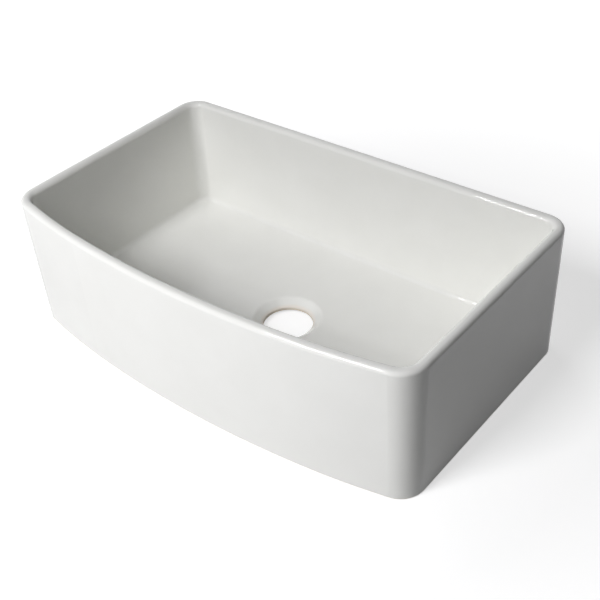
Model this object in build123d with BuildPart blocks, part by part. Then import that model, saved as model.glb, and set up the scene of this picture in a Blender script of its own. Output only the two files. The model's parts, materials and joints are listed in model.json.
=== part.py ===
from build123d import *
import math
import os

# Bow-front farmhouse apron sink in fireclay, 33 x 20 x 10 in class.
#
# Frame: origin at the centre of the base, +X to the right of someone standing at the sink,
# +Y towards the wall behind it, +Z up. Lengths are in millimetres and angles in degrees.
#
# The sink is one casting in three fired layers: the fireclay body, the engobe that whitens
# it and the glaze on top. All three follow one shape, so that shape is made by one function,
# cast_shape(skin), which sets every coated face back by `skin`.

os.makedirs("parts", exist_ok=True)

# ---- driving dimensions ------------------------------------------------------------------
width, depth, height = 838.0, 510.0, 254.0  # at the rim, before its edges are rounded
apron_radius = 2063.0  # plan radius of the bowed apron, at the rim
apron_end = 1390.0    # its two ends are bent to this smaller radius
apron_middle = 228.0  # and start this far to each side of the middle
front_corner = 48.5   # plan radius of the two apron corners, at the rim
back_corner = 42.0    # plan radius of the two back corners, at the rim
outer_draft = 0.93    # the outside leans in by this much on its way down

wall = 19.0           # thickness of the walls at the rim
side_draft = 0.2      # lean of the inner faces, from the rim down to the floor
back_draft = 2.3
front_draft = 1.0
rim_outer_round = 7.5
rim_inner_round = 9.0
base_bevel = 1.5      # bottom edge of the outside

floor_edge = 35.0     # height of the bowl floor where it meets the walls
floor_round = 9.0     # cove between floor and walls
seat_level = 25.0     # height of the bowl floor where it meets the drain seat
level_ring = 5.0      # width of the level ring of floor around the seat

drain_back = 17.5     # the drain hole lies this far behind the middle of the base
hole = 45.5           # radius of the drain hole, for a 3 1/2 in strainer
seat = 62.0           # radius of the dished seat for the strainer's flange
seat_slope = 38.0     # the seat is a cone of this slope
seat_round = 11.0     # lip of the seat
hole_round = 3.0      # edge between seat and hole

recess = 75.0         # radius of the recess under the drain, for a nut or a disposer's ring
recess_depth = 6.5
recess_bevel = 2.0    # between its wall and its ceiling

glaze_thick = 0.8
engobe_thick = 0.8
bare_foot = 2.0       # glaze and engobe are wiped off the foot up to this height

overrun = 10.0        # a cutting shape runs this far past what it cuts

# ---- derived sizes -----------------------------------------------------------------------
slope = math.radians(seat_slope)
coats = glaze_thick + engobe_thick
seat_flat = seat + level_ring       # the falling floor levels out here

end_turn = math.asin(apron_middle / apron_radius)     # the apron has turned this far there
bend = apron_radius - apron_end                       # between the centres of its two radii
end_centre = (bend * math.sin(end_turn), apron_radius - depth / 2 - bend * math.cos(end_turn))


def lean(angle, fall):
    """Sideways shift of a face that leans by `angle` over the height `fall`."""
    return fall * math.tan(math.radians(angle))


def seat_profile(skin):
    """Corners of the drain seat's section, as (radius, height): its lip and the hole's edge."""
    lip = (seat + skin * math.tan(slope / 2), seat_level - skin)
    across = seat - hole - skin
    edge = (hole + skin, seat_level - skin / math.cos(slope) - across * math.tan(slope))
    return lip, edge


def round_reach(radius):
    """How far a round of this radius reaches from the corner between the seat and the hole."""
    return radius * math.tan(math.radians(90 - seat_slope) / 2)


# the hole's straight wall ends where its rounded upper edge starts
hole_top = seat_profile(0)[1][1] - round_reach(hole_round)


def apron_end_points(inset, side):
    """Start, middle and end of the apron's right-hand end, set in by `inset`, out to x = side."""
    radius = apron_end - inset
    last = math.asin((side - end_centre[0]) / radius)
    return [(end_centre[0] + radius * math.sin(turn), end_centre[1] - radius * math.cos(turn))
            for turn in (end_turn, (end_turn + last) / 2, last)]


def bowl_plan(z, skin=0.0):
    """Outline of the bowl's walls at the height z, with the apron's bow along its front."""
    fall = height - z
    side = width / 2 - wall - lean(side_draft, fall)
    inset = wall + lean(front_draft, fall)
    back = depth / 2 - wall - lean(back_draft, fall)
    right = apron_end_points(inset, side)
    left = [(-x, y) for x, y in right]
    with BuildSketch() as outline:
        with BuildLine():
            ThreePointArc(left[0], (0, inset - depth / 2), right[0])
            ThreePointArc(*right)
            Polyline(right[-1], (side, back), (-side, back), left[-1])
            ThreePointArc(*left)
        make_face()
        for row, radius in ((0, front_corner), (-1, back_corner)):
            ends = outline.vertices().group_by(Axis.X)
            corners = (ends[0] + ends[-1]).group_by(Axis.Y)[row]
            fillet(corners, radius - wall)
    return offset(outline.sketch, skin) if skin else outline.sketch


def bowl(skin):
    """The hollow of the bowl, down to the level ring around the drain seat."""
    floor = floor_edge - skin
    with BuildPart() as hollow:
        with BuildSketch(Plane.XY.offset(height + overrun)):
            add(bowl_plan(height + overrun, skin))
        with BuildSketch(Plane.XY.offset(floor)):
            add(bowl_plan(floor_edge, skin))
        loft(ruled=True)
        with BuildSketch(Plane.XY.offset(floor)):
            add(bowl_plan(floor_edge, skin))
        with BuildSketch(Plane.XY.offset(seat_level - skin)):
            with Locations((0, drain_back)):
                Circle(seat_flat)
        loft(ruled=True)
        fillet(hollow.edges().filter_by_position(Axis.Z, floor, floor), floor_round + skin)
    return hollow.part


def outlet(skin):
    """The dished seat and the hole below it, turned about the drain's axis."""
    lip, edge = seat_profile(skin)
    above = lip[1] + overrun
    with BuildPart() as funnel:
        with BuildSketch(Plane.XZ) as section:
            with BuildLine():
                Polyline((0, above), (seat_flat, above), (seat_flat, lip[1]), lip, edge,
                         (edge[0], -overrun), (0, -overrun), close=True)
            make_face()
            fillet(section.vertices().sort_by_distance(lip)[0], seat_round - skin)
            corner = section.vertices().sort_by_distance(edge)[0]
            if skin:
                chamfer(corner, round_reach(hole_round - skin))  # bevelled clay, rounded glaze
            else:
                fillet(corner, hole_round)
        revolve(axis=Axis.Z)
    return funnel.part.moved(Location((0, drain_back, 0)))


def cast_shape(skin, foot=0.0):
    """The whole sink above `foot`, with every coated face set back by `skin`."""
    top = height - skin
    with BuildPart() as cast:
        with BuildSketch(Plane.XY.offset(top)):
            add(bowl_plan(height, wall - skin))
        extrude(amount=foot - top, taper=outer_draft)
        fillet(cast.edges().group_by(Axis.Z)[-1], rim_outer_round - skin)
        if not skin:
            chamfer(cast.edges().group_by(Axis.Z)[0], base_bevel)
        add(bowl(skin), mode=Mode.SUBTRACT)
        add(outlet(skin), mode=Mode.SUBTRACT)
        rim_face = cast.faces().filter_by(Plane.XY).sort_by(Axis.Z)[-1]
        fillet(rim_face.inner_wires()[0].edges(), rim_inner_round - skin)
    return cast.part


# ---- the zones that stay bare clay: the foot, the underside and the wall of the hole -------
with BuildPart() as bare_zone:
    with Locations((0, 0, -overrun)):
        Box(width, depth, overrun + bare_foot, align=(Align.CENTER, Align.CENTER, Align.MIN))
    with Locations((0, drain_back, -overrun)):
        Cylinder(hole + 2 * coats, overrun + hole_top,
                 align=(Align.CENTER, Align.CENTER, Align.MIN))

outside = cast_shape(0)
under_glaze = cast_shape(glaze_thick, foot=-overrun)
under_engobe = cast_shape(coats, foot=-overrun)

# ---- fired glaze: the glossy white coat on every face that shows ---------------------------
with BuildPart() as glaze:
    add(outside)
    add(bare_zone.part, mode=Mode.SUBTRACT)
    add(under_glaze, mode=Mode.SUBTRACT)

# ---- engobe: the white slip between the clay and the glaze ---------------------------------
with BuildPart() as engobe:
    add(under_glaze)
    add(bare_zone.part, mode=Mode.SUBTRACT)
    add(under_engobe, mode=Mode.SUBTRACT)

# ---- fireclay body: the casting itself, bare on its foot, its underside and in the hole ----
with BuildPart() as bare_clay:
    add(outside)
    add(bare_zone.part, mode=Mode.INTERSECT)

with BuildPart() as fireclay_body:
    add(cast_shape(coats, foot=bare_foot / 2))
    add(bare_clay.part)
    with BuildSketch():
        with Locations((0, drain_back)):
            Circle(recess)
    extrude(amount=recess_depth, mode=Mode.SUBTRACT)
    ceiling = fireclay_body.edges().filter_by(GeomType.CIRCLE)
    ceiling = ceiling.filter_by_position(Axis.Z, recess_depth, recess_depth)
    chamfer(ceiling.sort_by(SortBy.RADIUS)[-1], recess_bevel)

# ---- files ---------------------------------------------------------------------------------
for name, piece in (("fireclay_body", fireclay_body), ("engobe", engobe), ("glaze", glaze)):
    piece.part.label = name
    export_step(piece.part, f"parts/{name}.step")
    box = piece.part.bounding_box()
    print(f"{name}: {piece.part.volume / 1e3:.1f} cm3, {box.size.X:.2f} x {box.size.Y:.2f} x "
          f"{box.size.Z:.2f}, z from {box.min.Z:.2f}, valid {piece.part.is_valid}, "
          f"solids {len(piece.part.solids())}")
print(f"straight wall of the hole: z {recess_depth:.2f} to {hole_top:.2f}")
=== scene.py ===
"""The looks of a bow-front farmhouse apron sink: its fired surfaces, a studio and the camera.

Lengths are in metres and angles in degrees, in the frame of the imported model: +X to the right of
someone standing at the sink, +Y towards the wall behind it, +Z up, origin at the centre of the
base. Colours are linear.
"""
import json
import math

import bpy
from mathutils import Matrix, Vector


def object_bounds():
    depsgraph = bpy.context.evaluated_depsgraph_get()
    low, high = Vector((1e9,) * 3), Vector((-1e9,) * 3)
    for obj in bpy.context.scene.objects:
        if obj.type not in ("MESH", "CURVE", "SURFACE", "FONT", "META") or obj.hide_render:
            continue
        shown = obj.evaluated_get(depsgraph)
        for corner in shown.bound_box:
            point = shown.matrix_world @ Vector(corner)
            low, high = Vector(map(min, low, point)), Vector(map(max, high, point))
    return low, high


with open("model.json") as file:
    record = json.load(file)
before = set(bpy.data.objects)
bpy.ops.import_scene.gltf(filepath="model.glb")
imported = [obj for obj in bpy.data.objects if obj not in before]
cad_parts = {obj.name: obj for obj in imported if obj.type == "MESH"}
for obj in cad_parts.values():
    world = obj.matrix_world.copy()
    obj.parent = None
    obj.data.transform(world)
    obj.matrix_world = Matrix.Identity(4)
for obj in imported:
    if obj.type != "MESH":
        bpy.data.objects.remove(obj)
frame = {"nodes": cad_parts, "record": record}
cad_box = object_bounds()
outlet = next(m for m in frame["record"]["mounts"] if m["name"] == "drain_outlet")
drain = outlet["pos_m"][:2]
hole_radius = outlet["dims"]["r_mm"] / 1000

# ---- camera ------------------------------------------------------------------------------
camera_place = (0.9806, -1.07245, 1.17283)
camera_yaw = 41.01      # to the right of the sink's middle plane
camera_pitch = 37.16    # above the horizon
camera_roll = -4.09
sensor = 36.0           # mm, over the 600 pixels of the frame
lens = 61.82            # mm

# ---- studio ------------------------------------------------------------------------------
floor_size = 40.0
floor_grey = 0.38       # what the floor gives back to matt surfaces
floor_paint = 0.60      # the floor as it is seen: paint that takes the shadow
floor_glow = 0.63       # and a glow that makes the rest of it white
floor_fade = (0.6, 1.5)     # from the first distance out, the glow rises to full white

# name: (degrees round to the right of the front, degrees up, distance, across, tall, watts)
lamps = {
    "key": (-8.0, 45.5, 3.0, 1.0, 1.0, 70.0),
    "glint": (-15.0, 42.0, 3.0, 1.1, 0.24, 48.0),
    "apron_strip": (-9.0, 0.0, 2.0, 2.0, 0.22, 8.5),
    "back_fill": (241.0, 10.0, 3.0, 2.0, 2.0, 45.0),
}
mirrored = "glint"      # the glaze mirrors this small lamp; the others are too soft to show in it
lamp_colour = (0.985, 0.985, 1.0)

# ---- finishes: a grain is so many to the metre, and a depth is that of the bump -------------
glaze_light = (0.905, 0.905, 0.875)
glaze_dark = (0.887, 0.887, 0.855)
glaze_ior = 1.5
glaze_roughness = (0.01, 0.03)
polish_grain = 60.0                 # of the change from the one roughness to the other
cloud_grain = 14.0
pinhole_grain = 900.0
pinhole_onset = (0.76, 0.82)        # only the peaks of the noise show, so pinholes are rare
pinhole_strength = 0.25
wave_grain, wave_depth = 11.0, 0.00003
peel_grain, peel_depth = 260.0, 0.0000015
blush = (0.88, 0.80, 0.71)          # glaze thinned over the clay, round the hole
blush_width = 0.006
blush_grain = 120.0

engobe_light = (0.80, 0.785, 0.74)
engobe_dark = (0.74, 0.72, 0.665)
engobe_grain, engobe_depth = 1800.0, 0.00005
engobe_roughness = 0.75

clay_light = (0.88, 0.80, 0.69)
clay_dark = (0.78, 0.69, 0.57)
clay_cloud_grain = 25.0
clay_grain, clay_depth = 1500.0, 0.00015
clay_roughness = 0.9
grog_grain = 700.0
grog_onset = (0.60, 0.68)
grog_strength = 0.6


# ---- shader helpers ----------------------------------------------------------------------
def grey(level):
    return level, level, level, 1


class Nodes:
    """A material's or world's node tree, with short calls for making and joining nodes."""

    def __init__(self, owner):
        owner.use_nodes = True
        self.tree = owner.node_tree
        self.tree.nodes.clear()

    def add(self, kind, inputs=None, **settings):
        node = self.tree.nodes.new(kind)
        for name, value in settings.items():
            setattr(node, name, value)
        for name, value in (inputs or {}).items():
            self.set(node.inputs[name], value)
        return node

    def set(self, socket, value):
        if isinstance(value, bpy.types.NodeSocket):
            self.tree.links.new(value, socket)
        else:
            socket.default_value = value

    def place(self):
        return self.add("ShaderNodeTexCoord").outputs["Object"]

    def noise(self, grain, detail=2.0):
        """Even noise, 0 to 1."""
        node = self.add("ShaderNodeTexNoise", {
            "Vector": self.place(), "Scale": grain, "Detail": detail})
        return node.outputs["Fac"]

    def calc(self, operation, first, second):
        return self.add("ShaderNodeMath", {0: first, 1: second}, operation=operation).outputs[0]

    def from_middle(self):
        """Distance from the centre of the base."""
        away = self.add("ShaderNodeVectorMath", {0: self.place()}, operation="LENGTH")
        return away.outputs["Value"]

    def from_drain(self):
        """Distance from the drain's axis."""
        flat = self.add("ShaderNodeVectorMath", {0: self.place(), 1: (1, 1, 0)},
                        operation="MULTIPLY")
        away = self.add("ShaderNodeVectorMath", {0: flat.outputs[0], 1: (*drain, 0)},
                        operation="DISTANCE")
        return away.outputs["Value"]

    def spread(self, value, low, high, to_low, to_high):
        """`value` moved from the range low-high to the range to_low-to_high, and kept in it."""
        node = self.add("ShaderNodeMapRange", {
            "Value": value, "From Min": low, "From Max": high,
            "To Min": to_low, "To Max": to_high})
        return node.outputs["Result"]

    def blend(self, factor, first, second):
        """From the first colour, at factor 0, to the second."""
        node = self.add("ShaderNodeMix", data_type="RGBA")
        self.set(node.inputs["Factor"], factor)
        # a Mix node's colours are its inputs 6 and 7 and its output 2
        for socket, colour in ((node.inputs[6], first), (node.inputs[7], second)):
            self.set(socket, colour if isinstance(colour, bpy.types.NodeSocket) else (*colour, 1))
        return node.outputs[2]

    def bump(self, height, depth, under=None):
        node = self.add("ShaderNodeBump", {"Height": height, "Distance": depth})
        if under is not None:
            self.set(node.inputs["Normal"], under)
        return node.outputs["Normal"]

    def finish(self, shader):
        self.add("ShaderNodeOutputMaterial", {"Surface": shader})


# ---- surfaces ----------------------------------------------------------------------------
def glaze_material():
    """Glossy white glaze: faintly clouded, with slow waves, a fine orange peel and rare pinholes.

    It thins to a warm blush where it ends, on the edge of the drain hole.
    """
    material = bpy.data.materials.new("white_glaze")
    n = Nodes(material)
    cloud = n.spread(n.noise(cloud_grain, 3.0), 0.3, 0.7, 0.0, 1.0)
    pinholes = n.spread(n.noise(pinhole_grain, 1.0), *pinhole_onset, 0.0, pinhole_strength)
    colour = n.blend(pinholes, n.blend(cloud, glaze_light, glaze_dark), glaze_dark)
    thin = n.calc(
        "MULTIPLY",
        n.spread(n.from_drain(), hole_radius, hole_radius + blush_width, 1.0, 0.0),
        n.spread(n.noise(blush_grain), 0.2, 0.8, 0.5, 1.0))
    waves = n.bump(n.noise(wave_grain, 1.0), wave_depth)
    peel = n.bump(n.noise(peel_grain), peel_depth, under=waves)
    shader = n.add("ShaderNodeBsdfPrincipled", {
        "Base Color": n.blend(thin, colour, blush),
        "Roughness": n.spread(n.noise(polish_grain), 0.3, 0.7, *glaze_roughness),
        "IOR": glaze_ior, "Normal": peel})
    n.finish(shader.outputs["BSDF"])
    return material


def engobe_material():
    """Dull white slip, seen only as a thin line between clay and glaze."""
    material = bpy.data.materials.new("white_engobe")
    n = Nodes(material)
    grain = n.noise(engobe_grain, 3.0)
    shader = n.add("ShaderNodeBsdfPrincipled", {
        "Base Color": n.blend(grain, engobe_light, engobe_dark),
        "Roughness": engobe_roughness, "Normal": n.bump(grain, engobe_depth)})
    n.finish(shader.outputs["BSDF"])
    return material


def clay_material():
    """Bare fired fireclay: buff, gritty, with darker grains of grog."""
    material = bpy.data.materials.new("bare_fireclay")
    n = Nodes(material)
    cloud = n.noise(clay_cloud_grain, 4.0)
    grog = n.spread(n.noise(grog_grain), *grog_onset, 0.0, grog_strength)
    colour = n.blend(grog, n.blend(cloud, clay_light, clay_dark), clay_dark)
    shader = n.add("ShaderNodeBsdfPrincipled", {
        "Base Color": colour, "Roughness": clay_roughness,
        "Normal": n.bump(n.noise(clay_grain, 4.0), clay_depth)})
    n.finish(shader.outputs["BSDF"])
    return material


def dress(node, material):
    """Give a CAD node its material."""
    mesh = frame["nodes"][node].data
    mesh.materials.clear()
    mesh.materials.append(material)


# ---- floor, light and camera -------------------------------------------------------------
def towards(around, up):
    """Direction out from the sink: `around` to the right of its front, and `up` from level."""
    a, e = math.radians(around), math.radians(up)
    return Vector((math.sin(a) * math.cos(e), -math.cos(a) * math.cos(e), math.sin(e)))


def seen_directly(n):
    """1 for a ray from the camera, or one mirrored or let through on its way, else 0."""
    path = n.add("ShaderNodeLightPath").outputs
    either = n.calc("MAXIMUM", path["Is Camera Ray"], path["Is Glossy Ray"])
    return n.calc("MAXIMUM", either, path["Is Transmission Ray"])


def make_world():
    """White where it is seen, and no light on the sink."""
    world = bpy.data.worlds.new("studio")
    n = Nodes(world)
    sky = n.add("ShaderNodeBackground", {"Color": grey(1), "Strength": seen_directly(n)})
    n.add("ShaderNodeOutputWorld", {"Surface": sky.outputs[0]})
    bpy.context.scene.world = world


def make_floor():
    """A pale floor under the sink. It looks white, and keeps a light shadow."""
    material = bpy.data.materials.new("pale_floor")
    n = Nodes(material)
    plain = n.add("ShaderNodeBsdfDiffuse", {"Color": grey(floor_grey)})
    paint = n.add("ShaderNodeBsdfDiffuse", {"Color": grey(floor_paint)})
    glow = n.add("ShaderNodeEmission", {
        "Color": grey(1), "Strength": n.spread(n.from_middle(), *floor_fade, floor_glow, 1.0)})
    seen = n.add("ShaderNodeAddShader", {0: paint.outputs[0], 1: glow.outputs[0]})
    either = n.add("ShaderNodeMixShader", {
        0: seen_directly(n), 1: plain.outputs[0], 2: seen.outputs[0]})
    n.finish(either.outputs[0])
    bpy.ops.mesh.primitive_plane_add(size=floor_size)
    floor = bpy.context.object
    floor.name = "floor"
    floor.data.materials.append(material)


def make_lamps():
    """Soft boxes round the sink, all aimed at its middle."""
    aim = (cad_box[0] + cad_box[1]) / 2
    for name, (around, up, distance, across, tall, watts) in lamps.items():
        lamp = bpy.data.lights.new(name, "AREA")
        lamp.shape = "RECTANGLE"
        lamp.size = across
        lamp.size_y = tall
        lamp.energy = watts
        lamp.color = lamp_colour
        box = bpy.data.objects.new(name, lamp)
        bpy.context.scene.collection.objects.link(box)
        out = towards(around, up)
        box.location = aim + out * distance
        box.rotation_euler = out.to_track_quat("Z", "Y").to_euler()
        box.visible_camera = False
        box.visible_glossy = name == mirrored
        box.visible_diffuse = name != mirrored


def make_camera():
    """The photograph's view, as sideways, upward and backward directions turned by the roll."""
    back = towards(camera_yaw, camera_pitch)
    right = towards(camera_yaw + 90, 0)
    up = back.cross(right)
    roll = math.radians(camera_roll)
    across = math.cos(roll) * right + math.sin(roll) * up
    upright = math.cos(roll) * up - math.sin(roll) * right
    turn = Matrix((across, upright, back)).transposed().to_4x4()
    camera = bpy.data.objects.new("camera", bpy.data.cameras.new("camera"))
    camera.data.sensor_width = sensor
    camera.data.lens = lens
    camera.matrix_world = Matrix.Translation(camera_place) @ turn
    bpy.context.scene.collection.objects.link(camera)
    bpy.context.scene.camera = camera


dress("glaze", glaze_material())
dress("engobe", engobe_material())
dress("fireclay_body", clay_material())
make_world()
make_floor()
make_lamps()
make_camera()
bpy.context.scene.view_settings.view_transform = "Standard"
